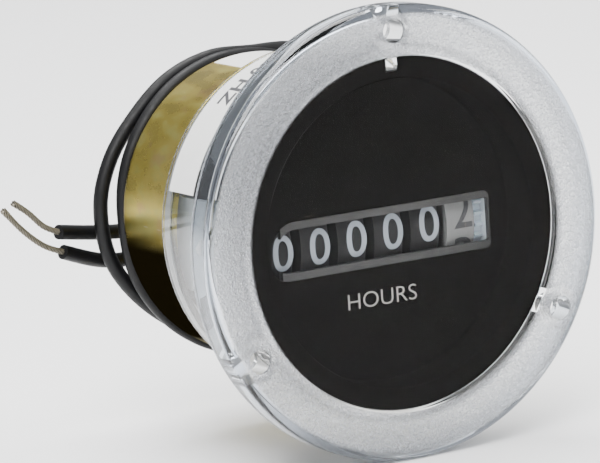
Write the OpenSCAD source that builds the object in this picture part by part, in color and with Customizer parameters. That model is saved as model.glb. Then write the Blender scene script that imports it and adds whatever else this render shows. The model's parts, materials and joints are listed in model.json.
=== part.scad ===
// Panel-mounting elapsed-time hour meter with a six-wheel drum counter.
// The dial faces -Y, +Z is up, and the origin is the centre of the flange's back face.

/* [Flange] */
// Outer diameter of the front flange
flange_d = 71.4; // [69:0.1:90]
// Thickness of the flange, from its back face to its front face
flange_t = 5.3; // [4.6:0.1:7]
// Rounding of the flange's front edge
flange_edge_r = 1.5; // [0.5:0.1:2.5]
// Wall of the rim round the flange's hollow back
rim_wall = 1.6; // [1:0.1:2.4]
// Thickness of the front face, which is also the window
face_t = 1.6; // [1.2:0.1:2]
// Diameter of the circle on which the mounting holes lie
bolt_circle_d = 63.5; // [62.8:0.1:66]
// Number of mounting holes
bolt_count = 3; // [3:1:4]
// Diameter of a mounting hole
bolt_hole_d = 3.9; // [3:0.1:4.6]
// Diameter of the boss round a mounting hole
bolt_boss_d = 6.8; // [6:0.1:8]

/* [Barrel] */
// Outer diameter of the clear barrel
barrel_d = 54.2; // [54:0.1:56]
// Wall of the barrel
barrel_wall = 1.8; // [1.4:0.1:1.9]
// Length of the barrel behind the flange
barrel_len = 23.8; // [23.6:0.1:30]
// Depth of the seat for the can and its ring at the barrel's back end
seat_depth = 2.1; // [1.8:0.1:2.6]
// Width of the step that the can's lip rests on
seat_step = 0.8; // [0.5:0.1:1]

/* [Dial] */
// Depth of the dial's face behind the window
dial_depth = 7.2; // [6:0.1:9]
// Thickness of the dial's sheet
dial_t = 0.9; // [0.6:0.1:1.4]
// Diameter of the dial's rim, which lies behind the window
dial_rim_d = 55.4; // [54.6:0.1:56]
// Length of the dial's rim, front to back
dial_rim_t = 1.2; // [0.8:0.1:1.6]
// Width of the locating key at the top of the dial's rim
key_w = 2; // [1.4:0.1:3]
// Width of the counter's opening
opening_w = 40.2; // [38:0.1:41]
// Height of the counter's opening
opening_h = 9.2; // [7:0.1:10]
// Width of the bars of the frame round the opening
frame_bar = 1.2; // [0.8:0.1:1.6]

/* [Counter] */
// Diameter of a number wheel
wheel_d = 23.2; // [19:0.1:23.4]
// Distance from one number wheel to the next
wheel_pitch = 6.7; // [6.4:0.05:6.72]
// Width of a number wheel's band
band_w = 5.1; // [4.6:0.1:5.15]
// Wall of a number wheel's band
band_wall = 1; // [0.7:0.1:1.4]
// Height of the wheels' shaft below the case's axis
counter_drop = 1.5; // [0:0.1:1.6]
// Radius of the wheels' shaft
wheel_shaft_r = 1.2; // [0.8:0.1:1.5]
// Radius of the transfer pinions' shaft
transfer_shaft_r = 0.6; // [0.4:0.05:0.7]
// Width of the drive gear
drive_gear_w = 1.5; // [1.2:0.1:1.6]

/* [Gear train] */
// Gear module of the reduction train
train_module = 0.4; // [0.3:0.01:0.4]
// Teeth of the large gears
gear_teeth = 40; // [30:2:40]
// Teeth of the pinions
pinion_teeth = 10; // [10:1:12]
// Thickness of each gear
gear_t = 0.6; // [0.4:0.05:0.7]
// Radius of the arbors that the gears turn on
arbor_r = 0.5; // [0.35:0.05:0.6]

/* [Motor] */
// Diameter of the motor can
can_d = 48.5; // [48.4:0.1:49]
// Thickness of the can's sheet steel
can_wall = 0.4; // [0.3:0.05:0.5]
// Corner radius of the can's back edge
can_edge_r = 1.4; // [0.8:0.1:2]
// Length of the motor between its two pole plates
motor_len = 6.6; // [5:0.1:9]
// Thickness of a pole plate
plate_t = 0.8; // [0.6:0.05:1]
// Radius of the rotor magnet
rotor_r = 8.4; // [7:0.1:9]
// Radius of the rotor's shaft
rotor_shaft_r = 0.75; // [0.6:0.05:1]
// Radial gap between the rotor and the poles
rotor_gap = 0.5; // [0.3:0.05:0.8]
// Radius of the coil's outside
coil_r = 20.6; // [18:0.1:21.4]

/* [Leads and labels] */
// Outer diameter of a lead's insulation
lead_d = 2.4; // [1.8:0.1:2.4]
// Diameter of a lead's bare stranded end
strand_d = 1; // [0.6:0.1:1.2]
// Thickness of the labels
label_t = 0.1; // [0.06:0.01:0.2]
// Width of the label round the barrel
case_label_w = 7.4; // [5:0.1:8]

/* [Hidden] */
$fn = 96;
slack = 0.05;          // radial running clearance of a shaft in its bore
seat_gap = 0.1;        // clearance of a piece that drops into a seat
gap = 0.3;             // least clearance between pieces that move past each other
wheel_count = 6;

// Stations along the case's axis, front to back
front_y = -flange_t;
window_back_y = front_y + face_t;
dial_face_y = window_back_y + dial_depth;
dial_back_y = dial_face_y + dial_t;
wheel_r = wheel_d / 2;
wheel_y = dial_back_y + 0.5 + wheel_r;
wheel_z = -counter_drop;
web_y = wheel_y + wheel_r + 0.4;
web_t = 1;
layer_gap = 0.4;
layer_c_y = web_y + web_t + layer_gap / 2;
layer_b_y = layer_c_y + gear_t + layer_gap;
layer_a_y = layer_b_y + gear_t + layer_gap;
motor_y = layer_a_y + gear_t + 0.5;
coil_y = motor_y + plate_t;
motor_end_y = coil_y + motor_len + plate_t;
can_back_y = motor_end_y + 0.6 + can_wall;

// Radii of the case
flange_r = flange_d / 2;
barrel_r = barrel_d / 2;
bore_r = barrel_r - barrel_wall;
seat_r = bore_r + seat_step;
rim_pocket_r = flange_r - rim_wall;
dial_rim_r = dial_rim_d / 2;
rim_seat_r = dial_rim_r + seat_gap;
shoulder_r = rim_seat_r + 1.3;
rim_seat_y = window_back_y + dial_rim_t + seat_gap;
bolt_r = bolt_circle_d / 2;
dial_r = bore_r - seat_gap;
dial_wall = 1;
can_r = can_d / 2;
can_bore_r = can_r - can_wall;
seat_y = barrel_len - seat_depth;
lip_r = seat_r - seat_gap;
ring_y = seat_y + can_wall;

// The counter's opening in the dial
opening_left = -opening_w / 2 + 0.6;
opening_right = opening_left + opening_w;
opening_top = wheel_z + opening_h / 2;
opening_bottom = wheel_z - opening_h / 2;
corner_top_left = 4.5;
corner_bottom_left = 3;
corner_right = 1;
frame_left = 1.9;      // how much of the opening's left end the frame leaves open

// Number wheels and their carry gears, measured from the middle of a wheel's numerals
band_left = -3.2;
band_right = band_left + band_w;
ring_w = 0.7;
carry_w = 0.6;
ring_teeth = 20;
transfer_teeth = 8;
transfer_module = (wheel_r + transfer_shaft_r + 0.9) * 2 / (ring_teeth + transfer_teeth);
ring_pitch_r = transfer_module * ring_teeth / 2;
transfer_pitch_r = transfer_module * transfer_teeth / 2;
transfer_tip_r = transfer_pitch_r + 0.8;
transfer_z = wheel_z - ring_pitch_r - transfer_pitch_r;
carry_tip_r = ring_pitch_r + transfer_pitch_r - transfer_tip_r - gap;
transfer_w = 1.3;
shaft_left = -21.3;
drive_gear_left = 2.5 * wheel_pitch + band_right + seat_gap;
right_plate_x = drive_gear_left + drive_gear_w + 0.15;
left_plate_x = -2.5 * wheel_pitch + band_left - 0.3;
side_plate_t = 1;
plate_low_z = wheel_z - 6.9;
plate_high_z = wheel_z + 6.9;
arm_x = 16;
arm_w = 1.2;

// Worm that turns the drive gear
drive_teeth = 40;
drive_tip_r = wheel_r + 0.2;
drive_pitch_r = drive_tip_r - 0.35;
worm_pitch_r = 0.85;
worm_lead = 2 * PI * drive_pitch_r / drive_teeth;
worm_x = drive_gear_left + drive_gear_w / 2;
worm_z = wheel_z + drive_pitch_r + worm_pitch_r;
worm_len = 8;

// Arbors of the train, as [x, z]
pinion_pitch_r = train_module * pinion_teeth / 2;
gear_pitch_r = train_module * gear_teeth / 2;
mesh_r = pinion_pitch_r + gear_pitch_r;
output_at = [11.5, 13];
output_teeth = 28;
output_pitch_r = train_module * output_teeth / 2;
second_at = output_at - (pinion_pitch_r + output_pitch_r) * [cos(48.8), sin(48.8)];
second_r = norm(second_at);
first_turn = acos(second_r / 2 / mesh_r);
first_angle = atan2(second_at[1], second_at[0]) + first_turn;
first_at = mesh_r * [cos(first_angle), sin(first_angle)];
first_phase = mesh_phase(pinion_teeth, 0, gear_teeth, first_angle);
to_second = atan2(second_at[1] - first_at[1], second_at[0] - first_at[0]);
second_phase = mesh_phase(pinion_teeth, first_phase, gear_teeth, to_second);
to_output = atan2(output_at[1] - second_at[1], output_at[0] - second_at[0]);
output_phase = mesh_phase(pinion_teeth, second_phase, output_teeth, to_output);
front_teeth = 34;
front_reach = norm([worm_x, worm_z] - output_at);
front_module = front_reach * 2 / (front_teeth + pinion_teeth);
front_y0 = dial_back_y + 0.8;
front_t = 1.6;
bracket_y = front_y0 + front_t + gap;
bracket_t = 1;

// Motor
stator_r = can_bore_r - seat_gap;
bush_r = 2.4;
pole_w = 3.2;
pole_r = rotor_r + rotor_gap + plate_t;
post_r = 1.3;
posts = [[3, 20.2], [-10, 17.3], [12.5, -16], [-12.5, -16]];
screw_head_r = 1.8;

// Lead routes, chosen by hand, and the hole they leave by
lead_hole = [9, -12];
lead_spacing = 3;
grommet_r = 3.6;
lead_a_route = [
  [7.5, 41, -12], [7.5, 43.6, -12], [8.6, 46, -11.6], [11.8, 46.9, -10], [16, 46.2, -6.6], [19.4, 45.2, -1.5],
  [21, 44.6, 5], [20.2, 44.3, 11.5], [16.6, 44, 16.8], [10.6, 44, 21], [4, 44, 23.1], [-4, 44, 23.1], [-11.6, 44, 20.2],
  [-17.3, 44, 15.2], [-21.2, 44, 8.6], [-22.5, 44, 1], [-21.2, 44, -9], [-16, 44, -17], [-8, 44, -22.5], [1, 44, -24],
  [9, 44.8, -22.4], [14.6, 47, -18], [13.6, 49.8, -10.6], [6, 50.2, -5.8], [-5, 50, -4], [-15, 49.8, -3.4],
  [-24, 49.2, -2.6], [-33, 47, -1]
];
lead_b_route = [
  [10.5, 41, -12], [10.5, 43, -12], [12, 45.2, -12.8], [15.6, 45.6, -12.6], [20.2, 44.4, -9], [23.4, 43.7, -3],
  [24.6, 43.6, 4], [23.6, 43.7, 11], [20.2, 44.6, 18.4], [13.2, 46.4, 22.6], [4, 46.5, 23.3], [-3.8, 46.5, 23.4],
  [-11.6, 46.5, 20.8], [-18, 46.5, 15.6], [-23, 46.4, 9.4], [-25.5, 46.2, 2], [-24.2, 46.2, -7],
  [-18, 46.4, -15], [-9, 46.5, -20.6], [0, 46.6, -21.2], [6.5, 47.6, -18.6], [7.8, 50, -13.6], [3, 52, -10],
  [-5, 52, -8.4], [-15, 51, -8], [-24, 49.2, -7.2], [-32.2, 47.5, -4.4]
];
strand_a_route = [[-33, 47, -1], [-35.8, 46.7, 0.4], [-38.6, 46.3, 3], [-41.3, 46, 5]];
strand_b_route = [[-32.2, 47.5, -4.4], [-35.8, 47.1, -2.8], [-39.6, 46.5, 0.2], [-43.2, 46, 4.1]];

// ---- Helpers ----

// Extrudes an outline drawn in (x, z) from y0 back to y1
module span_y(y0, y1) {
  translate([0, y1, 0]) rotate([90, 0, 0]) linear_extrude(height = y1 - y0) children();
}

// Extrudes an outline drawn in (y, z) from x0 to x1
module span_x(x0, x1) {
  translate([x0, 0, 0]) rotate([90, 0, 90]) linear_extrude(height = x1 - x0) children();
}

// Turns an outline drawn as (radius, y) about the case's axis
module turn_y() {
  rotate([90, 0, 0]) mirror([0, 0, 1]) rotate_extrude() children();
}

module at(p) {
  translate([p[0], p[1]]) children();
}

module ring_2d(outer, inner) {
  difference() {
    circle(r = outer);
    circle(r = inner);
  }
}

// Places children at each mounting hole, the first at the top
module at_bolts() {
  for (i = [0:bolt_count - 1]) rotate(90 + i * 360 / bolt_count) translate([bolt_r, 0]) children();
}

// Points of a gear with straight-flanked teeth; half angles are at the root and the tip
function gear_points(teeth, root, tip, root_half, tip_half) = [
  for (i = [0:teeth - 1]) each [
    root * [cos(i * 360 / teeth - root_half), sin(i * 360 / teeth - root_half)],
    tip * [cos(i * 360 / teeth - tip_half), sin(i * 360 / teeth - tip_half)],
    tip * [cos(i * 360 / teeth + tip_half), sin(i * 360 / teeth + tip_half)],
    root * [cos(i * 360 / teeth + root_half), sin(i * 360 / teeth + root_half)]
  ]
];

// A gear turned by phase; one with phase 0 has a tooth on +X
module gear_2d(teeth, pitch_r, phase = 0, addendum = 0.9, fill = 0.46) {
  m = 2 * pitch_r / teeth;
  pitch_angle = 360 / teeth;
  rotate(phase)
    polygon(gear_points(teeth, pitch_r - 1.2 * m * addendum, pitch_r + m * addendum * 0.85,
      pitch_angle * fill * 0.66, pitch_angle * fill * 0.26));
}

// Phase of a driven gear whose centre lies at the given angle from its driver's
function mesh_phase(driver_teeth, driver_phase, driven_teeth, angle) =
  angle + 180 + 180 / driven_teeth - (driver_phase - angle) * driver_teeth / driven_teeth;

// A tube swept along route points; its rings turn as little as they can
function unit(v) = v / norm(v);
function spline(p, i, t) =
  let (a = p[max(i - 1, 0)], b = p[i], c = p[i + 1], d = p[min(i + 2, len(p) - 1)])
  0.5 * (2 * b + (c - a) * t + (2 * a - 5 * b + 4 * c - d) * t * t + (3 * b - a - 3 * c + d) * t * t * t);
function tube_side(p, i, r, side) =
  let (along = unit(p[min(i + 1, len(p) - 1)] - p[max(i - 1, 0)]), u = unit(side - along * (side * along)))
  [u, [for (k = [0:7]) p[i] + r * (cos(k * 45) * u + sin(k * 45) * cross(along, u))]];
function tube_rings(p, r, side, i = 0) =
  i == len(p) ? [] : let (s = tube_side(p, i, r, side)) concat(s[1], tube_rings(p, r, s[0], i + 1));

module tube(p, r) {
  rings = len(p);
  side = abs(unit(p[1] - p[0])[2]) < 0.9 ? [0, 0, 1] : [1, 0, 0];
  sides = [
    for (i = [0:rings - 2], k = [0:7]) each
      let (a = i * 8 + k, b = i * 8 + (k + 1) % 8) [[a, b, a + 8], [b, b + 8, a + 8]]
  ];
  ends = [[for (k = [7:-1:0]) k], [for (k = [0:7]) (rings - 1) * 8 + k]];
  polyhedron(points = tube_rings(p, r, side), faces = concat(sides, ends), convexity = 6);
}

// Route with one point added in the middle of every second stretch, so that the rings stay few
function lead_path(p) = [
  for (i = [0:len(p) - 2]) each (i % 2 == 1 ? [p[i], spline(p, i, 0.5)] : [p[i]]),
  p[len(p) - 1]
];

// ---- Case ----

module case() {
  color([0.85, 0.87, 0.86, 0.35]) difference() {
    union() {
      turn_y() flange_section();
      turn_y() translate([0, -face_t]) square([barrel_r, barrel_len + face_t]);
      span_y(front_y + face_t / 2, 0) at_bolts() circle(d = bolt_boss_d);
      span_y(front_y + face_t / 2, 0) circle(r = shoulder_r);
    }
    span_y(window_back_y, rim_seat_y) circle(r = rim_seat_r);
    span_y(rim_seat_y - 0.01, seat_y + 0.01) circle(r = bore_r);
    span_y(seat_y, barrel_len + 1) circle(r = seat_r);
    span_y(front_y - 1, 1) at_bolts() circle(d = bolt_hole_d);
  }
  // The locating key stands in the dial's notch
  color([0.85, 0.87, 0.86, 0.35])
    span_y(window_back_y - 0.01, rim_seat_y)
      intersection() {
        ring_2d(rim_seat_r + 0.01, bore_r + 0.2);
        translate([-key_w / 2, 0]) square([key_w, shoulder_r]);
      }
}

// Half section of the hollow flange, as (radius, y)
module flange_section() {
  difference() {
    translate([0, front_y]) square([flange_r, flange_t]);
    translate([shoulder_r, window_back_y]) square([rim_pocket_r - shoulder_r, flange_t]);
    translate([flange_r - flange_edge_r, front_y]) difference() {
      square([flange_edge_r, flange_edge_r]);
      translate([0, flange_edge_r]) circle(r = flange_edge_r);
    }
  }
}

module retaining_ring() {
  color([0.8, 0.82, 0.82, 0.6]) span_y(ring_y, barrel_len) ring_2d(lip_r, can_r + seat_gap);
}

// ---- Dial ----

// Outline of the opening, drawn in (x, z), inset by a bar's width
module opening_2d(inset) {
  x0 = opening_left + inset;
  x1 = opening_right - inset / 4;
  z0 = opening_bottom + inset;
  z1 = opening_top - inset;
  difference() {
    translate([x0, z0]) square([x1 - x0, z1 - z0]);
    corner_cut(x0, z1, 1, -1, corner_top_left - inset);
    corner_cut(x0, z0, 1, 1, corner_bottom_left - inset);
    corner_cut(x1, z1, -1, -1, max(corner_right - inset, 0.3));
    corner_cut(x1, z0, -1, 1, max(corner_right - inset, 0.3));
  }
}

// What rounding by r takes off a corner at (x, z); sx and sz point into the shape
module corner_cut(x, z, sx, sz, r) {
  translate([x, z]) scale([sx, sz]) difference() {
    translate([-1, -1]) square(r + 1);
    translate([r, r]) circle(r = r);
  }
}

module dial() {
  color([0.13, 0.12, 0.11]) {
    difference() {
      union() {
        span_y(dial_face_y, dial_back_y) circle(r = dial_r);
        span_y(window_back_y + seat_gap, dial_back_y) ring_2d(dial_r, dial_r - dial_wall);
        span_y(window_back_y + seat_gap, window_back_y + dial_rim_t)
          ring_2d(dial_rim_r, dial_r - dial_wall);
      }
      span_y(dial_face_y - 1, dial_back_y + 1) opening_2d(0);
      span_y(window_back_y, window_back_y + dial_rim_t + seat_gap)
        translate([-key_w / 2 - seat_gap, bore_r]) square([key_w + 2 * seat_gap, shoulder_r]);
    }
  }
}

// Bars along the opening's top, right side and bottom; the left end is open
module opening_frame() {
  color([0.42, 0.42, 0.43]) span_y(dial_face_y, dial_back_y) difference() {
    opening_2d(0);
    opening_2d(frame_bar);
    translate([opening_left - 1, opening_bottom - 1]) square([frame_left + 1, opening_h + 2]);
  }
}

// ---- Counter ----

module counter_frame() {
  color([0.9, 0.92, 0.94]) difference() {
    union() {
      span_y(web_y, web_y + web_t) circle(r = can_bore_r - gap);
      side_plate(left_plate_x - side_plate_t);
      side_plate(right_plate_x);
      for (s = [-1, 1]) transfer_arm(s * arm_x - arm_w / 2);
      bracket();
    }
    span_x(shaft_left, right_plate_x + side_plate_t + 1) translate([wheel_y, wheel_z]) circle(r = wheel_shaft_r);
    span_x(-arm_x - 1.5, arm_x + 1.5) translate([wheel_y, transfer_z]) circle(r = transfer_shaft_r);
    span_y(bracket_y - 1, web_y + web_t + 1) {
      at([worm_x, worm_z]) circle(r = arbor_r + slack);
      at(output_at) circle(r = arbor_r + slack);
    }
    span_y(web_y - 1, web_y + web_t + 1) {
      at(first_at) circle(r = arbor_r);
      at(second_at) circle(r = arbor_r);
      for (p = posts) at(p) circle(r = post_r / 2);
    }
  }
}

module side_plate(x) {
  span_x(x, x + side_plate_t)
    translate([dial_back_y, plate_low_z]) square([web_y - dial_back_y + web_t / 2, plate_high_z - plate_low_z]);
}

// Arm that carries one end of the transfer shaft
module transfer_arm(x) {
  span_x(x, x + arm_w) difference() {
    union() {
      translate([wheel_y - 2.2, transfer_z - 2]) square([4.4, 3.2]);
      translate([wheel_y, transfer_z - 1.5]) square([web_y - wheel_y + web_t / 2, 2.7]);
    }
    translate([wheel_y, wheel_z]) circle(r = wheel_r + gap);
  }
}

// Bracket above the wheels that carries the front ends of the worm and the output arbor
module bracket() {
  span_y(bracket_y, bracket_y + bracket_t) intersection() {
    circle(r = bore_r - gap);
    translate([8.5, wheel_z + wheel_r - 0.6]) square([right_plate_x + side_plate_t - 8.5, 8]);
  }
  span_x(right_plate_x, right_plate_x + side_plate_t)
    translate([bracket_y, plate_high_z - 1]) square([3, worm_z - plate_high_z + 2]);
}

module wheel_shaft() {
  color("silver") span_x(shaft_left, right_plate_x + side_plate_t)
    translate([wheel_y, wheel_z]) circle(r = wheel_shaft_r);
}

// One number wheel; place is 0 for the leftmost
module number_wheel(place, tone) {
  x = (place - 2.5) * wheel_pitch;
  color(tone) difference() {
    union() {
      span_x(x + band_left, x + band_right) at([wheel_y, wheel_z]) ring_2d(wheel_r, wheel_r - band_wall);
      span_x(x + band_left, x + band_right) at([wheel_y, wheel_z]) circle(r = wheel_shaft_r + 1.6);
      span_x(x - 1, x + 0.4) at([wheel_y, wheel_z]) circle(r = wheel_r - band_wall / 2);
      if (place < wheel_count - 1) carry_ring(x);
      if (place > 0) carry_teeth(x);
    }
    span_x(x - wheel_pitch, x + wheel_pitch) at([wheel_y, wheel_z]) circle(r = wheel_shaft_r + slack);
  }
}

// Twenty-tooth ring on a wheel's right side, and the hub that carries it
module carry_ring(x) {
  span_x(x + band_right - 0.5, x + band_right + ring_w) at([wheel_y, wheel_z]) difference() {
    gear_2d(ring_teeth, ring_pitch_r, 0);
    circle(r = ring_pitch_r - 2.4);
  }
  span_x(x - 0.5, x + band_right) at([wheel_y, wheel_z]) ring_2d(ring_pitch_r - 1.4, ring_pitch_r - 2.4);
}

// Disc with two carry teeth on a wheel's left side
module carry_teeth(x) {
  span_x(x + band_left - carry_w, x + band_left + 0.5) at([wheel_y, wheel_z]) {
    circle(r = carry_tip_r - 1.2);
    for (a = [40, 58]) rotate(a) translate([0, -0.7]) square([carry_tip_r, 1.4]);
  }
  span_x(x + band_left, x - 0.5) at([wheel_y, wheel_z]) circle(r = wheel_shaft_r + 3);
}

module transfer_shaft() {
  color("silver") span_x(-arm_x - 1.5, arm_x + 1.5) translate([wheel_y, transfer_z]) circle(r = transfer_shaft_r);
}

// Pinion between the wheels at places place - 1 and place
module transfer_pinion(place) {
  x = (place - 3.5) * wheel_pitch + band_right + 0.15;
  color([0.88, 0.9, 0.9]) span_x(x, x + transfer_w) translate([wheel_y, transfer_z]) difference() {
    gear_2d(transfer_teeth, transfer_pitch_r, mesh_phase(ring_teeth, 0, transfer_teeth, -90), 0.75, 0.42);
    circle(r = transfer_shaft_r + slack);
  }
}

module drive_gear() {
  pitch_angle = 360 / drive_teeth;
  color([0.86, 0.9, 0.93]) span_x(drive_gear_left, drive_gear_left + drive_gear_w)
    translate([wheel_y, wheel_z]) difference() {
      rotate(90 + pitch_angle / 2) polygon(gear_points(drive_teeth, drive_tip_r - 0.75, drive_tip_r,
        pitch_angle * 0.27, pitch_angle * 0.1));
      circle(r = wheel_shaft_r + slack);
    }
}

module worm_arbor() {
  worm_y0 = wheel_y - worm_len / 2;
  worm_y1 = wheel_y + worm_len / 2;
  color([0.83, 0.76, 0.55]) {
    span_y(front_y0, worm_y0) at([worm_x, worm_z]) circle(r = arbor_r);
    span_y(worm_y1, layer_c_y - gap) at([worm_x, worm_z]) circle(r = arbor_r);
    span_y(front_y0, front_y0 + front_t) at([worm_x, worm_z])
      gear_2d(pinion_teeth, front_module * pinion_teeth / 2,
        mesh_phase(front_teeth, 0, pinion_teeth, atan2(worm_z - output_at[1], worm_x - output_at[0])), 0.75, 0.42);
    translate([worm_x, worm_y1, worm_z]) rotate([90, 0, 0])
      linear_extrude(height = worm_len, twist = -360 * worm_len / worm_lead, slices = 72)
        rotate(-90 - 180 * worm_len / worm_lead) translate([0.32, 0]) circle(r = 0.68, $fn = 14);
  }
}

// ---- Gear train ----

module output_arbor() {
  color([0.83, 0.76, 0.55]) {
    span_y(front_y0, layer_c_y + gear_t) at(output_at) circle(r = arbor_r);
    span_y(front_y0, front_y0 + front_t) at(output_at)
      gear_2d(front_teeth, front_module * front_teeth / 2, 0, 0.75, 0.42);
    span_y(layer_c_y, layer_c_y + gear_t) at(output_at)
      gear_2d(output_teeth, output_pitch_r, output_phase, 0.75, 0.42);
  }
}

// A large gear in one layer with its pinion in the next layer forward
module compound_gear(p, gear_y, pinion_y, phase) {
  span_y(gear_y, gear_y + gear_t) at(p) difference() {
    gear_2d(gear_teeth, gear_pitch_r, phase, 0.75, 0.42);
    circle(r = arbor_r + slack);
  }
  span_y(pinion_y, gear_y + 0.01) at(p) difference() {
    gear_2d(pinion_teeth, pinion_pitch_r, phase, 0.75, 0.42);
    circle(r = arbor_r + slack);
  }
}

module first_gear() {
  color([0.9, 0.88, 0.8]) compound_gear(first_at, layer_a_y, layer_b_y, first_phase);
}

module second_gear() {
  color([0.9, 0.88, 0.8]) compound_gear(second_at, layer_b_y, layer_c_y, second_phase);
}

module arbor(p) {
  color("silver") span_y(web_y, motor_y + plate_t) at(p) circle(r = arbor_r);
}

module train_posts() {
  color("silver") for (p = posts) span_y(web_y + web_t, motor_y) at(p) ring_2d(post_r, post_r / 2);
}

// Screws through the web and the posts, with slotted heads
module train_screws() {
  color([0.8, 0.78, 0.7]) for (p = posts) difference() {
    union() {
      span_y(web_y - 1, web_y) at(p) circle(r = screw_head_r);
      span_y(web_y - 0.5, motor_y + plate_t) at(p) circle(r = post_r / 2);
    }
    span_y(web_y - 2, web_y - 0.6) at(p) square([2 * screw_head_r + 1, 0.5], center = true);
  }
}

// ---- Motor ----

module rotor_pinion() {
  color([0.83, 0.7, 0.4]) span_y(layer_a_y, layer_a_y + gear_t) difference() {
    gear_2d(pinion_teeth, pinion_pitch_r, 0, 0.75, 0.42);
    circle(r = rotor_shaft_r);
  }
}

module rotor_shaft() {
  color("silver") span_y(layer_a_y, motor_end_y) circle(r = rotor_shaft_r);
}

module rotor_magnet() {
  color([0.22, 0.21, 0.2]) span_y(coil_y + gap, motor_end_y - plate_t - gap) ring_2d(rotor_r, rotor_shaft_r);
}

module bush(y0, y1) {
  color([0.75, 0.55, 0.3]) span_y(y0, y1) ring_2d(bush_r, rotor_shaft_r + slack);
}

// Pole plate; its six poles stand up from y0 to y1 round the rotor
module pole_plate(y0, pole_y0, pole_y1, turn) {
  color([0.7, 0.7, 0.68]) difference() {
    union() {
      span_y(y0, y0 + plate_t) circle(r = stator_r);
      span_y(pole_y0, pole_y1) intersection() {
        ring_2d(pole_r, pole_r - plate_t);
        for (i = [0:5]) rotate(turn + i * 60) translate([0, -pole_w / 2]) square([pole_r + 1, pole_w]);
      }
    }
    span_y(y0 - 1, y0 + plate_t + 1) circle(r = bush_r);
    if (turn == 0) span_y(y0 - 1, y0 + plate_t + 1) {
      at(first_at) circle(r = arbor_r);
      at(second_at) circle(r = arbor_r);
      for (p = posts) at(p) circle(r = post_r / 2);
    }
    if (turn != 0) span_y(y0 - 1, y0 + plate_t + 1) at(lead_hole) circle(r = grommet_r);
  }
}

module coil_bobbin() {
  color([0.93, 0.92, 0.86]) {
    span_y(coil_y, coil_y + 0.7) ring_2d(coil_r, pole_r + 0.15);
    span_y(motor_end_y - plate_t - 0.7, motor_end_y - plate_t) ring_2d(coil_r, pole_r + 0.15);
    span_y(coil_y, motor_end_y - plate_t) ring_2d(pole_r + 0.95, pole_r + 0.15);
  }
}

module coil_winding() {
  color([0.72, 0.36, 0.16])
    span_y(coil_y + 0.7, motor_end_y - plate_t - 0.7) ring_2d(coil_r - 0.8, pole_r + 0.95);
}

// Deep-drawn can with a lip at its open front end
module motor_can() {
  color([0.66, 0.6, 0.34]) difference() {
    turn_y() {
      difference() {
        translate([0, seat_y]) square([can_r, can_back_y - seat_y]);
        translate([can_r - can_edge_r, can_back_y - can_edge_r]) difference() {
          square([can_edge_r + 1, can_edge_r + 1]);
          circle(r = can_edge_r);
        }
      }
      translate([0, seat_y]) square([lip_r, can_wall]);
    }
    span_y(seat_y - 1, can_back_y - can_wall) circle(r = can_bore_r);
    span_y(can_back_y - 2, can_back_y + 1) at(lead_hole) circle(r = grommet_r);
  }
}

// Grommet in the can's back, with a hole for each lead
module lead_grommet() {
  color([0.1, 0.1, 0.1]) difference() {
    union() {
      span_y(can_back_y - can_wall, can_back_y) at(lead_hole) circle(r = grommet_r);
      span_y(can_back_y, can_back_y + 0.8) at(lead_hole) circle(r = grommet_r + 0.8);
    }
    span_y(can_back_y - 2, can_back_y + 2) at(lead_hole)
      for (s = [-1, 1]) translate([s * lead_spacing / 2, 0]) circle(d = lead_d);
  }
}

// ---- Labels ----

module label(r, y0, y1, from, to) {
  color([0.93, 0.93, 0.9]) span_y(y0, y1) intersection() {
    ring_2d(r + label_t, r);
    polygon([[0, 0], for (i = [0:4]) 2 * r * [cos(from + (to - from) * i / 4), sin(from + (to - from) * i / 4)]]);
  }
}

module case_label() {
  label(barrel_r, barrel_len - 1.6 - case_label_w, barrel_len - 1.6, 20, 164);
}

module can_label() {
  label(can_r, barrel_len + 1.2, can_back_y - can_edge_r - 0.4, 55, 105);
}

// ---- Leads ----

module lead(route) {
  color([0.07, 0.07, 0.07]) tube(lead_path(route), lead_d / 2);
}

module strands(route) {
  color([0.66, 0.64, 0.58]) tube(route, strand_d / 2);
}

case();
retaining_ring();
dial();
opening_frame();
counter_frame();
wheel_shaft();
number_wheel(5, [0.9, 0.9, 0.88]);  // wheel_tenths
number_wheel(4, [0.08, 0.08, 0.09]);  // wheel_ones
number_wheel(3, [0.08, 0.08, 0.09]);  // wheel_tens
number_wheel(2, [0.08, 0.08, 0.09]);  // wheel_hundreds
number_wheel(1, [0.08, 0.08, 0.09]);  // wheel_thousands
number_wheel(0, [0.08, 0.08, 0.09]);  // wheel_ten_thousands
transfer_shaft();
transfer_pinion(5);  // pinion_ones
transfer_pinion(4);  // pinion_tens
transfer_pinion(3);  // pinion_hundreds
transfer_pinion(2);  // pinion_thousands
transfer_pinion(1);  // pinion_ten_thousands
drive_gear();
worm_arbor();
output_arbor();
second_gear();
first_gear();
arbor(second_at);  // second_arbor
arbor(first_at);  // first_arbor
rotor_pinion();
rotor_shaft();
rotor_magnet();
bush(motor_y, motor_y + plate_t);  // front_bush
bush(motor_end_y - plate_t, motor_end_y);  // rear_bush
pole_plate(motor_y, coil_y, motor_end_y - plate_t - 0.6, 0);  // front_pole_plate
pole_plate(motor_end_y - plate_t, coil_y + 0.6, motor_end_y - plate_t, 30);  // rear_pole_plate
coil_bobbin();
coil_winding();
train_posts();
train_screws();
motor_can();
lead_grommet();
case_label();
can_label();
lead(lead_a_route);  // lead_a
lead(lead_b_route);  // lead_b
strands(strand_a_route);  // lead_strands_a
strands(strand_b_route);  // lead_strands_b
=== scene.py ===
import json
import math

import bmesh
import bpy
from mathutils import Matrix, Vector


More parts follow.
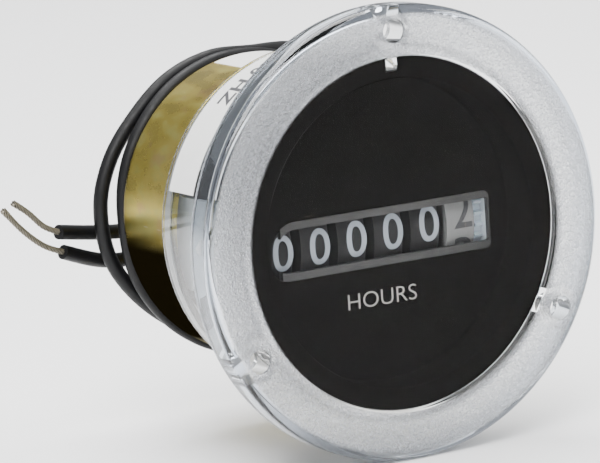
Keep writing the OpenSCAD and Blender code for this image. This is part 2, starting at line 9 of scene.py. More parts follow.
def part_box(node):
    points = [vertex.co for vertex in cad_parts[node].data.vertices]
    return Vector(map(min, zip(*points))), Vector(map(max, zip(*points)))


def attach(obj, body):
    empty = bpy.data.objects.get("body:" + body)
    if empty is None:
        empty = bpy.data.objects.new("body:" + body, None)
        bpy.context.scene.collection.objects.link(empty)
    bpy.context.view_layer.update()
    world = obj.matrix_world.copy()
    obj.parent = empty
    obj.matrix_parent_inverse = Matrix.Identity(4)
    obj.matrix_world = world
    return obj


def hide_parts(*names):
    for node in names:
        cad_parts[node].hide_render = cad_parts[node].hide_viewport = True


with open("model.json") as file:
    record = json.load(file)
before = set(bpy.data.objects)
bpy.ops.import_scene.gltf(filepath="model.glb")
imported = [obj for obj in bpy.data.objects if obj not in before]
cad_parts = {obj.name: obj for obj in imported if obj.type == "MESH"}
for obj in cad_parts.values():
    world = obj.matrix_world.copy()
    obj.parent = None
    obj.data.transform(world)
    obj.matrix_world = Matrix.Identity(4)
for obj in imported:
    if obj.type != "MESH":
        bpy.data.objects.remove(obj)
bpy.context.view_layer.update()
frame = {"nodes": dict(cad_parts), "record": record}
MM = 0.001


def span(node):
    """Lowest and highest corner of a CAD node, in millimetres."""
    lo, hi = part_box(node)
    return [c / MM for c in lo], [c / MM for c in hi]


# ---- Sizes, in millimetres, read from the frame ----

case_lo, case_hi = span("case")
LABEL_T = 0.1
FIT_GAP = 0.1
FLANGE_R = case_hi[0]
FRONT_Y = case_lo[1]
BARREL_END = case_hi[1]
FACE_T = 1.6
RIM_T = 1.6
WINDOW_BACK = FRONT_Y + FACE_T
BARREL_R = span("case_label")[1][2] - LABEL_T
BORE_R = BARREL_R - 1.8
DIAL_LO, DIAL_HI = span("dial")
RIM_R = DIAL_HI[0]
DIAL_BACK = DIAL_HI[1]
FRAME_LO, FRAME_HI = span("opening_frame")
DIAL_FACE = FRAME_LO[1]
OPENING_W = 40.2
OPENING_LEFT = FRAME_HI[0] - OPENING_W
RING_LO, RING_HI = span("retaining_ring")
LIP_R = RING_HI[0]
CAN_LO, CAN_HI = span("motor_can")
SEAT_Y = CAN_LO[1]
CAN_BACK = CAN_HI[1]
CAN_WALL = RING_LO[1] - SEAT_Y
CAN_R = 24.25
SHOULDER_R = RIM_R + 1.4
DIGIT_STEP = math.radians(36)
pivots = {j["name"]: [c / MM for c in j["pos_m"]] for j in frame["record"]["behaviour"]["joints"]}
WHEEL_Y, WHEEL_Z = pivots["wheel_tenths_turn"][1:]
WHEEL_R = WHEEL_Y - span("wheel_tens")[0][1]
bolts = frame["record"]["mounts"][0]["dims"]
BOLT_R = bolts["pcd_mm"] / 2
HOLE_R = bolts["hole_r_mm"]
BOLT_ANGLES = [math.radians(90 + i * 360 / bolts["count"]) for i in range(bolts["count"])]
BOSS_R = 3.4
BAR_W = 1.2
DIAL_RIM_T = 1.2
KEY_W = 2
WHEEL_PITCH = 6.7
LEAD_HOLE = (9, -12, 3.6)


# ---- Camera ----

def set_camera():
    """Long lens, looking from the front left and a little above."""
    forward = Vector((0.4973, 0.8502, -0.1729)).normalized()
    right = forward.cross(Vector((0, 0, 1))).normalized()
    up = right.cross(forward)
    roll = math.radians(-3.774)
    x_axis = right * math.cos(roll) + up * math.sin(roll)
    y_axis = up * math.cos(roll) - right * math.sin(roll)
    data = bpy.data.cameras.new("camera")
    data.lens = 357.6
    data.sensor_width = 36
    data.clip_start = 0.01
    camera = bpy.data.objects.new("camera", data)
    turn = Matrix((x_axis, y_axis, -forward)).transposed().to_4x4()
    camera.matrix_world = Matrix.Translation(Vector((-472.6, -780.7, 160.9)) * MM) @ turn
    bpy.context.scene.collection.objects.link(camera)
    bpy.context.scene.camera = camera


set_camera()


# ---- Shader building ----

class Socket:
    """A shader output that takes Python's arithmetic."""

    def __init__(self, shader, output):
        self.shader = shader
        self.output = output

    def math(self, operation, *values):
        return self.shader.node("Math", dict(operation=operation), *values)

    def __add__(self, other):
        return self.math("ADD", self, other)

    def __sub__(self, other):
        return self.math("SUBTRACT", self, other)

    def __mul__(self, other):
        return self.math("MULTIPLY", self, other)

    def __truediv__(self, other):
        return self.math("DIVIDE", self, other)

    def __pow__(self, other):
        return self.math("POWER", self, other)

    def __lt__(self, other):
        return self.math("LESS_THAN", self, other)

    def abs(self):
        return self.math("ABSOLUTE", self)

    def ramp(self, start, end, low=0.0, high=1.0):
        """Goes smoothly from low to high as this goes from start to end."""
        return self.shader.node("MapRange", dict(interpolation_type="SMOOTHSTEP"), self, start, end, low, high)


class Shader:
    """A material made from sockets and numbers."""

    def __init__(self, name):
        self.material = bpy.data.materials.new(name)
        self.material.use_nodes = True
        self.tree = self.material.node_tree
        self.tree.nodes.clear()
        place = self.node("TexCoord", {}, out="Object")
        self.mm = self.vector("SCALE", place, Scale=1 / MM)

    def node(self, kind, settings, *values, out=0, **named):
        """Adds a node: its own settings, then what goes into its inputs by place or by name."""
        made = self.tree.nodes.new("ShaderNode" + kind)
        for key, value in settings.items():
            setattr(made, key, value)
        for key, value in list(enumerate(values)) + list(named.items()):
            self.feed(made.inputs[key.replace("_", " ") if isinstance(key, str) else key], value)
        return Socket(self, made.outputs[out])

    def feed(self, target, value):
        if isinstance(value, Socket):
            self.tree.links.new(value.output, target)
        else:
            target.default_value = (*value, 1) if isinstance(value, tuple) and target.type == "RGBA" else value

    def vector(self, operation, *values, **named):
        return self.node("VectorMath", dict(operation=operation), *values, **named)

    def xyz(self):
        split = self.node("SeparateXYZ", {}, self.mm).output.node
        return [Socket(self, o) for o in split.outputs]

    def noise(self, scale, detail=3, stretch=(1, 1, 1)):
        """Noise whose cells are 1 / scale millimetres across."""
        at = self.vector("MULTIPLY", self.mm, stretch)
        return self.node("TexNoise", {}, at, Scale=scale, Detail=detail)

    def specks(self, scale, size, share, stretch=(1, 1, 1)):
        """Small round specks, on a share of the cells."""
        at = self.vector("MULTIPLY", self.mm, stretch)
        cells = self.node("TexVoronoi", dict(feature="F1"), at, Scale=scale)
        made = cells.output.node
        chance = self.node("SeparateColor", {}, Socket(self, made.outputs["Color"]))
        return cells.ramp(size, size * 0.4) * (chance < share)

    def mix(self, factor, a, b):
        """Colour a going to colour b as the factor goes from 0 to 1."""
        made = self.node("Mix", dict(data_type="RGBA"), factor).output.node
        self.feed(made.inputs[6], a)
        self.feed(made.inputs[7], b)
        return Socket(self, made.outputs[2])

    def bump(self, height, strength, distance=0.1):
        return self.node("Bump", {}, Strength=strength, Distance=distance * MM, Height=height)

    def blend(self, factor, first, second):
        return self.node("MixShader", {}, factor, first, second)

    def bsdf(self, color, rough, **named):
        return self.node("BsdfPrincipled", {}, Base_Color=color, Roughness=rough, **named)

    def done(self, surface):
        """Puts the surface on the material, which is then ready."""
        end = self.tree.nodes.new("ShaderNodeOutputMaterial")
        self.tree.links.new(surface.output, end.inputs["Surface"])
        return self.material


def plain(name, color, rough, metal=0.0, grain=0.04, **named):
    """A finish with a faint unevenness in its colour and its gloss."""
    s = Shader(name)
    uneven = s.noise(0.6, 4)
    dark = tuple(c * (1 - grain * 2) for c in color)
    light = tuple(min(c * (1 + grain * 2), 1) for c in color)
    tone = s.mix(uneven, dark, light)
    return s.done(s.bsdf(tone, uneven.ramp(0.3, 0.7, rough - 0.05, rough + 0.05), Metallic=metal, **named))


def clear_case():
    """Clear plastic, frosted with a fine grain on the flange's front."""
    s = Shader("clear_case")
    x, y, z = s.xyz()
    radius = (x * x + z * z) ** 0.5
    frosted = radius.ramp(RIM_R + 0.1, RIM_R + 0.4) * radius.ramp(34.7, 34.1) * (y < FRONT_Y + 0.5)
    grain = s.noise(2.2, 2) * 0.8 + s.noise(4.6, 2) * 0.5
    bump = s.bump(grain, 1.0, 0.32)
    haze = frosted * grain.ramp(0.35, 0.9, 0.2, 0.62)
    rim = s.mix(radius.ramp(34.0, 34.6), (0.955, 0.965, 0.97), (0.5, 0.55, 0.63))
    clear = s.bsdf(rim, 0.02, Transmission_Weight=1.0, IOR=1.5)
    grainy = s.bsdf((0.86, 0.875, 0.89), 0.15, Transmission_Weight=1.0, IOR=1.5, Normal=bump)
    milky = s.bsdf((0.31, 0.325, 0.35), 0.5, Normal=bump)
    return s.done(s.blend(frosted, clear, s.blend(haze, grainy, milky)))


def window():
    """Clear window with faint reflections, and with dust and hairs on its front."""
    s = Shader("window_clear")
    x, y, z = s.xyz()
    dust = s.specks(1.5, 0.15, 0.35) + s.specks(2.6, 0.18, 0.22)
    hairs = s.specks(0.4, 0.05, 0.4, (1, 1, 0.12)) + s.specks(0.36, 0.05, 0.35, (0.14, 1, 1))
    cover = (dust + hairs) * s.noise(0.12, 3).ramp(0.3, 0.65, 0.35, 1.0) * (y < FRONT_Y + 0.3)
    glass = s.bsdf((0.985, 0.985, 0.985), 0.0, Transmission_Weight=1.0, IOR=1.12)
    dirt = s.bsdf((0.3, 0.26, 0.21), 0.8, Specular_IOR_Level=0.0)
    return s.done(s.blend(cover * 0.4, glass, dirt))


def dial_black():
    """Brownish black, with dust and short fibres."""
    s = Shader("dial_black")
    tone = s.mix(s.noise(0.25, 4).ramp(0.35, 0.7), (0.0012, 0.0010, 0.0009), (0.0026, 0.0021, 0.0018))
    dust = s.specks(1.8, 0.16, 0.5) + s.specks(0.5, 0.06, 0.5, (0.2, 1, 1)) + s.specks(0.5, 0.06, 0.5, (1, 1, 0.2))
    tone = s.mix(dust * s.noise(0.12, 3).ramp(0.35, 0.65, 0.3, 1.0), tone, (0.028, 0.022, 0.016))
    return s.done(s.bsdf(tone, s.noise(0.5).ramp(0.3, 0.7, 0.5, 0.62), Specular_IOR_Level=0.0))


def zinc():
    """Yellow chromate plating, cloudy and scuffed, with painted shade (a dark reflection) along its lower left."""
    s = Shader("yellow_zinc")
    cloud = s.noise(0.09, 4)
    mottle = s.noise(0.35, 5, (1, 0.5, 1))
    tone = s.mix(cloud.ramp(0.35, 0.65), (0.46, 0.36, 0.05), (0.58, 0.46, 0.10))
    tone = s.mix(mottle.ramp(0.45, 0.7) * 0.5, tone, (0.36, 0.38, 0.14))
    tone = s.mix(s.noise(0.22, 3).ramp(0.55, 0.7) * 0.4, tone, (0.42, 0.23, 0.12))
    scuffs = s.specks(0.6, 0.09, 0.5, (1, 0.15, 1)) + s.specks(1.3, 0.12, 0.25)
    tone = s.mix(scuffs * 0.35, tone, (0.7, 0.66, 0.5))
    x, y, z = s.xyz()
    # painted shade: towards the lower left the can goes near black, standing in for a dark reflection there
    shade = ((x * -0.85 + z * -0.53) / CAN_R).ramp(0.78, 0.93)
    lines = s.bump(s.noise(1.2, 3, (1, 0.06, 1)), 0.12, 0.05)
    plated = s.bsdf(tone, mottle.ramp(0.3, 0.7, 0.24, 0.38), Metallic=1.0, Normal=lines)
    # near-black surface that paints the dark reflection on the lower left
    painted_shade = s.bsdf((0.004, 0.003, 0.001), 0.5, Specular_IOR_Level=0.0, Normal=lines)
    return s.done(s.blend(shade, plated, painted_shade))


def paper(name, line_y=None, color=(0.74, 0.745, 0.73)):
    """Smooth label paper, with one thin line printed round it at line_y."""
    s = Shader(name)
    x, y, z = s.xyz()
    tone = s.mix(s.noise(0.3), color, tuple(c * 0.93 for c in color))
    if line_y is not None:
        tone = s.mix((y - line_y).abs() < 0.13, tone, (0.25, 0.25, 0.26))
    return s.done(s.bsdf(tone, 0.42, Normal=s.bump(s.noise(4, 2), 0.05)))


def rubber(name, color, rough, shine):
    """Soft insulation with uneven gloss."""
    s = Shader(name)
    worn = s.noise(0.7).ramp(0.3, 0.7, rough, rough + 0.12)
    return s.done(s.bsdf(color, worn, Specular_IOR_Level=shine, Normal=s.bump(s.noise(3), 0.12)))


MATERIALS = {
    "case": clear_case(),
    "window": window(),
    "retaining_ring": plain("frosted_ring", (0.62, 0.65, 0.66), 0.4, Transmission_Weight=0.5),
    "counter_frame": plain("frame_white", (0.62, 0.68, 0.72), 0.5),
    "drive_gear": plain("gear_milky", (0.36, 0.42, 0.47), 0.4, Subsurface_Weight=0.2, Subsurface_Scale=0.001),
    "wheel_black": plain("wheel_black", (0.016, 0.016, 0.017), 0.5, Specular_IOR_Level=0.1),
    "wheel_white": plain("wheel_white", (0.2, 0.2, 0.2), 0.5),
    "digit_pale": plain("digit_pale", (0.29, 0.32, 0.36), 0.5),
    "digit_dark": plain("digit_dark", (0.035, 0.036, 0.04), 0.45),
    "print_pale": plain("print_pale", (0.42, 0.40, 0.37), 0.5),
    "print_dark": plain("print_dark", (0.04, 0.04, 0.045), 0.5),
    "opening_frame": plain("frame_grey", (0.04, 0.04, 0.04), 0.5, grain=0.2, Specular_IOR_Level=0.3),
    "steel": plain("bright_steel", (0.56, 0.56, 0.55), 0.26, 1.0),
    "brass": plain("brass", (0.62, 0.47, 0.22), 0.28, 1.0),
    "nylon": plain("train_nylon", (0.7, 0.66, 0.55), 0.45),
    "ferrite": plain("ferrite", (0.04, 0.04, 0.042), 0.5),
    "pole": plain("pole_steel", (0.45, 0.45, 0.43), 0.35, 1.0),
    "copper": plain("copper_winding", (0.5, 0.2, 0.08), 0.35, 0.8),
    "dial": dial_black(),
    "zinc": zinc(),
    "case_label": paper("label_case"),
    "can_label": paper("label_can", BARREL_END + 2.3, (0.8, 0.8, 0.79)),
    "lead": rubber("lead_black", (0.0025, 0.0025, 0.003), 0.44, 0.25),
    "grommet": rubber("grommet_black", (0.018, 0.018, 0.018), 0.5, 0.5),
    "tinned": plain("tinned_strands", (0.15, 0.135, 0.105), 0.42, 0.85, 0.2),
}

CAD_FINISHES = {
    "counter_frame": "counter_frame", "drive_gear": "drive_gear", "coil_winding": "copper", "rotor_magnet": "ferrite",
    "front_pole_plate": "pole", "rear_pole_plate": "pole", "coil_bobbin": "nylon", "lead_grommet": "grommet",
    "output_arbor": "brass", "worm_arbor": "brass", "rotor_pinion": "brass", "front_bush": "brass",
    "rear_bush": "brass", "first_gear": "nylon", "second_gear": "nylon",
}
for node, finish in CAD_FINISHES.items():
    MATERIALS[node] = MATERIALS[finish]


# ---- Shapes, drawn in millimetres ----

MERGE = 1e-4


def rounded(corners, step=14):
    """Closed outline through (a, b, radius) corners, each rounded by its radius."""
    points = []
    count = len(corners)
    for i, (a, b, r) in enumerate(corners):
        here = Vector((a, b))
        if r == 0:
            points.append(here)
            continue
        back = (Vector(corners[i - 1][:2]) - here).normalized()
        on = (Vector(corners[(i + 1) % count][:2]) - here).normalized()
        half = back.angle(on) / 2
        reach = r / math.tan(half)
        centre = here + (back + on).normalized() * (r / math.sin(half))
        start, end = here + back * reach - centre, here + on * reach - centre
        turn = start.angle_signed(end)
        steps = max(2, round(math.degrees(abs(turn)) / step))
        for k in range(steps + 1):
            points.append(centre + Matrix.Rotation(-turn * k / steps, 2) @ start)
    return points


def turned(corners, steps=144):
    """Solid turned about the case's axis from an outline of (radius, y, rounding) corners."""
    bm = bmesh.new()
    points = rounded(corners)
    verts = [bm.verts.new((p.x, p.y, 0)) for p in points]
    for i, v in enumerate(verts):
        if v.co.x > 0 or verts[i - 1].co.x > 0:
            bm.edges.new((verts[i - 1], v))
    bmesh.ops.spin(bm, geom=bm.verts[:] + bm.edges[:], axis=(0, 1, 0), cent=(0, 0, 0), angle=2 * math.pi,
                   steps=steps, use_merge=True)
    bmesh.ops.remove_doubles(bm, verts=bm.verts, dist=MERGE)
    bmesh.ops.recalc_face_normals(bm, faces=bm.faces)
    return bm


def thicken(bm, way):
    """Makes a flat shape a solid, drawn out along the vector."""
    made = bmesh.ops.extrude_face_region(bm, geom=bm.faces[:])["geom"]
    bmesh.ops.translate(bm, vec=way, verts=[g for g in made if isinstance(g, bmesh.types.BMVert)])
    bmesh.ops.recalc_face_normals(bm, faces=bm.faces)


def slab(outline, y0, y1):
    """Solid with an outline drawn in (x, z) and going from y0 back to y1."""
    bm = bmesh.new()
    bm.faces.new([bm.verts.new((p[0], y0, p[1])) for p in outline])
    thicken(bm, (0, y1 - y0, 0))
    return bm


def circle(x, z, r, count=64):
    angles = [2 * math.pi * k / count for k in range(count)]
    return [(x + r * math.cos(a), z + r * math.sin(a)) for a in angles]


def box(x0, z0, x1, z1):
    return [(x0, z0), (x1, z0), (x1, z1), (x0, z1)]


def loose_object(bm, name="scratch"):
    """Mesh object made from the shape, which is used up."""
    mesh = bpy.data.meshes.new(name)
    bm.to_mesh(mesh)
    bm.free()
    made = bpy.data.objects.new(name, mesh)
    bpy.context.scene.collection.objects.link(made)
    return made


def combine(bm, other, operation="DIFFERENCE"):
    """The two shapes joined, or the first with the second cut out of it."""
    first, second = loose_object(bm), loose_object(other)
    first.modifiers.new("combine", "BOOLEAN").object = second
    first.modifiers["combine"].operation = operation
    first.modifiers["combine"].solver = "EXACT"
    result = bmesh.new()
    result.from_mesh(first.evaluated_get(bpy.context.evaluated_depsgraph_get()).to_mesh())
    for made in (first, second):
        mesh = made.data
        bpy.data.objects.remove(made)
        bpy.data.meshes.remove(mesh)
    bmesh.ops.remove_doubles(result, verts=result.verts, dist=MERGE)
    return result


def piece(bm, name, material, body="housing", replaces=(), angle=34):
    """Finished piece at the origin, from a shape drawn in millimetres."""
    bmesh.ops.scale(bm, vec=(MM, MM, MM), verts=bm.verts)
    made = loose_object(bm, name)
    made.data.shade_smooth()
    made.data.set_sharp_from_angle(angle=math.radians(angle))
    made.data.materials.append(material)
    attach(made, body)
    if replaces:
        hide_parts(*replaces)
    return made


def soften(made, width):
    """Rounds the piece's edges a little."""
    bevel = made.modifiers.new("edges", "BEVEL")
    bevel.width = width * MM
    bevel.segments = 2
    bevel.limit_method = "ANGLE"
    bevel.angle_limit = math.radians(40)
    bevel.profile = 0.5
    bevel.material = -1
    bevel.harden_normals = False


def flat_text(words, width, height, weight):
    """Lettering in (x, y), centred on the origin, of that width and height in millimetres."""
    data = bpy.data.curves.new("words", "FONT")
    data.body = words
    data.offset = weight
    data.resolution_u = 6
    source = bpy.data.objects.new("words", data)
    bpy.context.scene.collection.objects.link(source)
    mesh = source.evaluated_get(bpy.context.evaluated_depsgraph_get()).to_mesh()
    bm = bmesh.new()
    bm.from_mesh(mesh)
    bpy.data.objects.remove(source)
    bpy.data.curves.remove(data)
    xs = [v.co.x for v in bm.verts]
    ys = [v.co.y for v in bm.verts]
    bmesh.ops.translate(bm, verts=bm.verts, vec=(-(min(xs) + max(xs)) / 2, -(min(ys) + max(ys)) / 2, 0))
    bmesh.ops.scale(bm, verts=bm.verts, vec=(width / (max(xs) - min(xs)), height / (max(ys) - min(ys)), 1))
    return bm


def slice_across(bm, axis, count, step):
    """Cuts a flat shape by evenly spaced planes, so that it can follow a curve."""
    normal = Vector((0, 0, 0))
    normal[axis] = 1
    for k in range(-count, count + 1):
        bmesh.ops.bisect_plane(bm, geom=bm.verts[:] + bm.edges[:] + bm.faces[:], plane_co=normal * k * step,
                               plane_no=normal)


# ---- Cords, along the routes that the CAD part gives ----

EXIT_Y = span("lead_grommet")[1][1]
LEAD_D = 2.4
STRAND_R = 0.17
LEAD_A = [
    (7.5, EXIT_Y, -12), (7.5, 43.6, -12), (8.6, 46, -11.6), (11.8, 46.9, -10), (16, 46.2, -6.6), (19.4, 45.2, -1.5),
    (21, 44.6, 5), (20.2, 44.3, 11.5), (16.6, 44, 16.8), (10.6, 44, 21), (4, 44, 23.1), (-4, 44, 23.1),
    (-11.6, 44, 20.2), (-17.3, 44, 15.2), (-21.2, 44, 8.6), (-22.5, 44, 1), (-21.2, 44, -9), (-16, 44, -17),
    (-8, 44, -22.5), (1, 44, -24),
    (9, 44.8, -22.4), (14.6, 47, -18), (13.6, 49.8, -10.6), (6, 50.2, -5.8), (-5, 50, -4), (-15, 49.8, -3.4),
    (-24, 49.2, -2.6), (-33, 47, -1),
]
LEAD_B = [
    (10.5, EXIT_Y, -12), (10.5, 43, -12), (12, 45.2, -12.8), (15.6, 45.6, -12.6), (20.2, 44.4, -9), (23.4, 43.7, -3),
    (24.6, 43.6, 4), (23.6, 43.7, 11), (20.2, 44.6, 18.4), (13.2, 46.4, 22.6), (4, 46.5, 23.3), (-3.8, 46.5, 23.4),
    (-11.6, 46.5, 20.8), (-18, 46.5, 15.6), (-23, 46.4, 9.4), (-25.5, 46.2, 2), (-24.2, 46.2, -7),
    (-18, 46.4, -15), (-9, 46.5, -20.6), (0, 46.6, -21.2), (6.5, 47.6, -18.6), (7.8, 50, -13.6), (3, 52, -10),
    (-5, 52, -8.4), (-15, 51, -8), (-24, 49.2, -7.2), (-32.2, 47.5, -4.4),
]
STRANDS_A = [(-33, 47, -1), (-35.8, 46.7, 0.4), (-38.6, 46.3, 3), (-41.3, 46, 5)]
STRANDS_B = [(-32.2, 47.5, -4.4), (-35.8, 47.1, -2.8), (-39.6, 46.5, 0.2), (-43.2, 46, 4.1)]


def spline(route, parts):
    """Points along a smooth curve through the route."""
    points = [Vector(p) for p in route]
    made = []
    for i in range(len(points) - 1):
        a, b, c, d = points[max(i - 1, 0)], points[i], points[i + 1], points[min(i + 2, len(points) - 1)]
        for k in range(parts):
            t = k / parts
            made.append(0.5 * (2 * b + (c - a) * t + (2 * a - 5 * b + 4 * c - d) * t * t
                               + (3 * b - a - 3 * c + d) * t ** 3))
    return made + [points[-1]]


def curve(name, lines, radius, material, resolution=6):
    """Round tubes along the lines, which are lists of points in millimetres."""
    data = bpy.data.curves.new(name, "CURVE")
    data.dimensions = "3D"
    data.bevel_depth = 1
    data.bevel_resolution = resolution
    data.use_fill_caps = True
    for line in lines:
        made = data.splines.new("POLY")
        made.points.add(len(line) - 1)
        for point, place in zip(made.points, line):
            point.co = (*(place * MM), 1)
            point.radius = radius * MM
        made.use_smooth = True
    data.materials.append(material)
    made = bpy.data.objects.new(name, data)
    bpy.context.scene.collection.objects.link(made)
    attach(made, "housing")
    return made


def length(line):
    """Length of the line through the points."""
    return sum((b - a).length for a, b in zip(line, line[1:]))


def twisted(route, turn_r, count, pitch):
    """Lines of a twisted bundle: one in the middle and the rest round it, spread a little at the tip."""
    middle = spline(route, 10)
    total = length(middle)
    lines = [middle]
    for k in range(count):
        line = []
        gone = 0
        for i, p in enumerate(middle):
            along = (middle[min(i + 1, len(middle) - 1)] - middle[max(i - 1, 0)]).normalized()
            side = along.cross(Vector((0, 0, 1))).normalized()
            angle = 2 * math.pi * (k / count + gone / pitch)
            spread = turn_r * (1 + 0.5 * max(0, gone / total - 0.8) * (1 + k % 3))
            line.append(p + (side * math.cos(angle) + along.cross(side) * math.sin(angle)) * spread)
            if i + 1 < len(middle):
                gone += (middle[i + 1] - p).length
        lines.append(line)
    return lines


for letter, route, bare_route in (("a", LEAD_A, STRANDS_A), ("b", LEAD_B, STRANDS_B)):
    line = spline(route, 8)
    lead = curve("lead_" + letter + "_wire", [line], LEAD_D / 2, MATERIALS["lead"])
    lines = twisted(bare_route, turn_r=0.33, count=6, pitch=4.6)
    bare = curve("strands_" + letter, lines, STRAND_R, MATERIALS["tinned"], 3)
    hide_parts("lead_" + letter)
    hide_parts("lead_strands_" + letter)
    [c * MM for c in route[0]]
    length(line) * MM


# ---- Case ----

def make_case():
    """Clear case: window, hollow flange with three bosses, barrel, and a key that locates the dial."""
    rim_seat_y = DIAL_LO[1] + DIAL_RIM_T + FIT_GAP
    shell = turned([
        (0, FRONT_Y, 0), (RIM_R, FRONT_Y, 0), (FLANGE_R, FRONT_Y, 1.5), (FLANGE_R, 0, 0.4),
        (FLANGE_R - RIM_T, 0, 0.4), (FLANGE_R - RIM_T, WINDOW_BACK, 0.6), (SHOULDER_R, WINDOW_BACK, 0.5),
        (SHOULDER_R, 0, 0.3), (BARREL_R, 0, 0.3), (BARREL_R, BARREL_END, 0.3),
        (LIP_R + FIT_GAP, BARREL_END, 0.15), (LIP_R + FIT_GAP, SEAT_Y, 0), (BORE_R, SEAT_Y, 0.15),
        (BORE_R, rim_seat_y, 0.15), (RIM_R + FIT_GAP, rim_seat_y, 0), (RIM_R + FIT_GAP, WINDOW_BACK, 0.2),
        (RIM_R - 1, WINDOW_BACK, 0), (0, WINDOW_BACK, 0),
    ], 192)
    centres = [(BOLT_R * math.cos(a), BOLT_R * math.sin(a)) for a in BOLT_ANGLES]
    for at in centres:
        shell = combine(shell, slab(circle(*at, BOSS_R), FRONT_Y + FACE_T / 2, 0), "UNION")
    for at in centres:
        shell = combine(shell, slab(circle(*at, HOLE_R), FRONT_Y - 1, 1))
    key = slab(box(-KEY_W / 2, BORE_R + FIT_GAP, KEY_W / 2, SHOULDER_R - 0.6), WINDOW_BACK - 0.4, rim_seat_y)
    shell = combine(shell, key, "UNION")
    made = piece(shell, "clear_shell", MATERIALS["case"], replaces=["case"], angle=28)
    made.data.materials.append(MATERIALS["window"])
    for face in made.data.polygons:
        corners = [made.data.vertices[i].co / MM for i in face.vertices]
        inside = max(math.hypot(c.x, c.z) for c in corners) < RIM_R + 0.01
        if inside and max(c.y for c in corners) < WINDOW_BACK + 0.01:
            face.material_index = 1


make_case()


# ---- Dial ----

def opening(inset):
    """Outline of the counter's opening, moved in by inset."""
    x0, x1 = OPENING_LEFT + inset, FRAME_HI[0] - inset / 4
    z0, z1 = FRAME_LO[2] + inset, FRAME_HI[2] - inset
    right = max(1 - inset, 0.3)
    return rounded([(x0, z0, 3 - inset), (x0, z1, 4.5 - inset), (x1, z1, right), (x1, z0, right)], 8)


def make_dial():
    """Dished dial with its counter opening, the bars round that and the word under it."""
    wall_r = BORE_R - FIT_GAP
    dish = turned([
        (0, DIAL_FACE, 0), (wall_r - 1, DIAL_FACE, 0.35), (wall_r - 1, DIAL_LO[1], 0.25), (RIM_R, DIAL_LO[1], 0.1),
        (RIM_R, WINDOW_BACK + DIAL_RIM_T, 0.1), (wall_r, WINDOW_BACK + DIAL_RIM_T, 0), (wall_r, DIAL_BACK, 0.2),
        (0, DIAL_BACK, 0),
    ], 160)
    cut_from, cut_to = DIAL_FACE - 1, DIAL_BACK + 1
    dish = combine(dish, slab(opening(0), cut_from, cut_to))
    notch = box(-KEY_W / 2 - FIT_GAP, BORE_R, KEY_W / 2 + FIT_GAP, SHOULDER_R)
    dish = combine(dish, slab(notch, WINDOW_BACK, WINDOW_BACK + DIAL_RIM_T + FIT_GAP))
    piece(dish, "dial_dish", MATERIALS["dial"], replaces=["dial"])
    bars = combine(slab(opening(0.02), DIAL_FACE, DIAL_BACK), slab(opening(BAR_W), cut_from, cut_to))
    open_end = box(OPENING_LEFT - 1, FRAME_LO[2] - 1, FRAME_LO[0], FRAME_HI[2] + 1)
    bars = combine(bars, slab(open_end, cut_from, cut_to))
    made = piece(bars, "window_frame", MATERIALS["opening_frame"], replaces=["opening_frame"])
    soften(made, 0.12)
    words = flat_text("HOURS", 12.55, 2.45, -0.014)
    bmesh.ops.rotate(words, verts=words.verts, cent=(0, 0, 0), matrix=Matrix.Rotation(math.pi / 2, 3, "X"))
    bmesh.ops.translate(words, verts=words.verts, vec=(0.08, DIAL_FACE - 0.03, -11))
    thicken(words, (0, 0.03, 0))
    piece(words, "dial_lettering", MATERIALS["print_pale"])


make_dial()


# ---- Number wheels ----

# What each wheel shows, in digits
READING = (-0.05, -0.03, 0, 0.03, 0.07, 2.25)
DIGIT_H = 5.8
WHEELS = ("ten_thousands", "thousands", "hundreds", "tens", "ones", "tenths")


def digit_band(reading, x, width):
    """The ten digits round one wheel, standing just proud of its band."""
    band = bmesh.new()
    for digit in range(10):
        glyph = flat_text(str(digit), width * (0.62 if digit == 1 else 1), DIGIT_H, 0.008)
        slice_across(glyph, 1, 7, 0.42)
        thicken(glyph, (0, 0, 0.05))
        for v in glyph.verts:
            angle = v.co.y / WHEEL_R + (reading - digit) * DIGIT_STEP
            r = WHEEL_R - 0.02 + v.co.z
            v.co = (x + v.co.x, WHEEL_Y - r * math.cos(angle), WHEEL_Z + r * math.sin(angle))
        mesh = bpy.data.meshes.new("glyph")
        glyph.to_mesh(mesh)
        glyph.free()
        band.from_mesh(mesh)
        bpy.data.meshes.remove(mesh)
    bmesh.ops.recalc_face_normals(band, faces=band.faces)
    return band


def finish(node, material):
    """Gives a CAD node its material."""
    materials = frame["nodes"][node].data.materials
    materials.clear()
    materials.append(material)


def make_wheels():
    for place, (name, reading) in enumerate(zip(WHEELS, READING)):
        node = "wheel_" + name
        x = (place - (len(WHEELS) - 1) / 2) * WHEEL_PITCH
        last = name == "tenths"
        finish(node, MATERIALS["wheel_white" if last else "wheel_black"])
        band = digit_band(reading, x + (-0.1 if last else 0.27), 3.3 if last else 3.65)
        piece(band, "digits_" + name, MATERIALS["digit_dark" if last else "digit_pale"], body=node)


make_wheels()


# ---- Motor can, ring and labels ----

def make_can():
    """Motor can with its lead hole, and the ring that holds it in the barrel."""
    bore = CAN_R - CAN_WALL
    can = turned([
        (0, CAN_BACK, 0), (CAN_R, CAN_BACK, 1.4), (CAN_R, SEAT_Y + CAN_WALL, 0.2), (LIP_R, SEAT_Y + CAN_WALL, 0.1),
        (LIP_R, SEAT_Y, 0.1), (bore, SEAT_Y, 0.3), (bore, CAN_BACK - CAN_WALL, 0.8), (0, CAN_BACK - CAN_WALL, 0),
    ], 192)
    can = combine(can, slab(circle(*LEAD_HOLE), CAN_BACK - 2, CAN_BACK + 1))
    piece(can, "can_shell", MATERIALS["zinc"], replaces=["motor_can"])
    ring = turned([
        (RING_HI[0], RING_LO[1], 0.1), (RING_HI[0], RING_HI[1], 0.3),
        (CAN_R + FIT_GAP, RING_HI[1], 0.3), (CAN_R + FIT_GAP, RING_LO[1], 0.1),
    ], 160)
    piece(ring, "back_ring", MATERIALS["retaining_ring"], replaces=["retaining_ring"])


make_can()


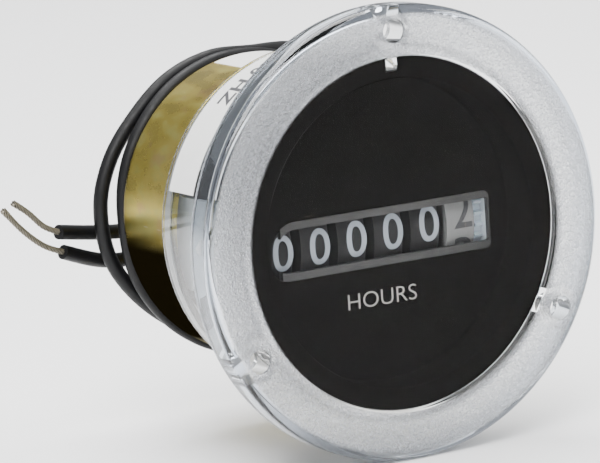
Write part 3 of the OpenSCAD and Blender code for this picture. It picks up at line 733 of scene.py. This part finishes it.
def arc_label(name, node, material, r, start, end):
    """Thin label wrapped round the case's axis, from start to end in degrees."""
    lo, hi = span(node)
    bm = bmesh.new()
    outline = [(r, lo[1]), (r + LABEL_T, lo[1] + 0.05), (r + LABEL_T, hi[1] - 0.05), (r, hi[1])]
    first = Matrix.Rotation(-math.radians(start), 3, "Y")
    verts = [bm.verts.new(first @ Vector((a, b, 0))) for a, b in outline]
    face = bm.faces.new(verts)
    bmesh.ops.spin(bm, geom=[face] + face.verts[:] + face.edges[:], axis=(0, 1, 0), cent=(0, 0, 0),
                   angle=-math.radians(end - start), steps=72)
    bmesh.ops.remove_doubles(bm, verts=bm.verts, dist=MERGE)
    bmesh.ops.recalc_face_normals(bm, faces=bm.faces)
    piece(bm, name, material, replaces=[node], angle=20)


def wrap_text(words, width, height, r, y, start):
    """Lettering wrapped round the case's axis and reading downwards, with its tops towards the front."""
    bm = flat_text(words, width, height, 0.024)
    slice_across(bm, 0, 6, width / 13)
    thicken(bm, (0, 0, 0.03))
    for v in bm.verts:
        angle = math.radians(start) + v.co.x / r
        depth = r - 0.01 + v.co.z
        v.co = (depth * math.cos(angle), y - v.co.y, depth * math.sin(angle))
    bmesh.ops.recalc_face_normals(bm, faces=bm.faces)
    return bm


arc_label("barrel_label", "case_label", MATERIALS["case_label"], BARREL_R, 20, 164)
piece(wrap_text("60 HZ", 11.4, 3.2, BARREL_R + LABEL_T, 18.2, 119.5), "label_lettering", MATERIALS["print_dark"])
arc_label("can_band_label", "can_label", MATERIALS["can_label"], CAN_R, 55, 105)

for node, made in frame["nodes"].items():
    if node.startswith("wheel_") and node != "wheel_shaft" or made.hide_render:
        continue
    finish(node, MATERIALS.get(node, MATERIALS["nylon" if node.startswith("pinion") else "steel"]))


# ---- Floor and light ----

def make_stage():
    """Plain floor, even sky and three soft lights."""
    bm = bmesh.new()
    bmesh.ops.create_grid(bm, x_segments=1, y_segments=1, size=6)
    bmesh.ops.translate(bm, verts=bm.verts, vec=(0, 0, case_lo[2] * MM))
    floor = loose_object(bm, "floor")
    s = Shader("floor_white")
    floor.data.materials.append(s.done(s.bsdf((0.93, 0.93, 0.93), 0.7)))
    world = bpy.data.worlds.new("studio")
    world.use_nodes = True
    world.node_tree.nodes["Background"].inputs["Color"].default_value = (0.95, 0.97, 1, 1)
    world.node_tree.nodes["Background"].inputs["Strength"].default_value = 0.45
    bpy.context.scene.world = world
    for name, place, size, power in (
        ("key", (-0.5, -0.55, 0.85), 0.7, 24), ("fill", (0.9, -0.3, 0.45), 0.6, 8), ("top", (0.0, 0.35, 1.0), 0.9, 26),
    ):
        data = bpy.data.lights.new(name, "AREA")
        data.size = size
        data.energy = power
        light = bpy.data.objects.new(name, data)
        turn = Vector(place).to_track_quat("Z", "Y").to_matrix().to_4x4()
        light.matrix_world = Matrix.Translation(place) @ turn
        bpy.context.scene.collection.objects.link(light)


make_stage()
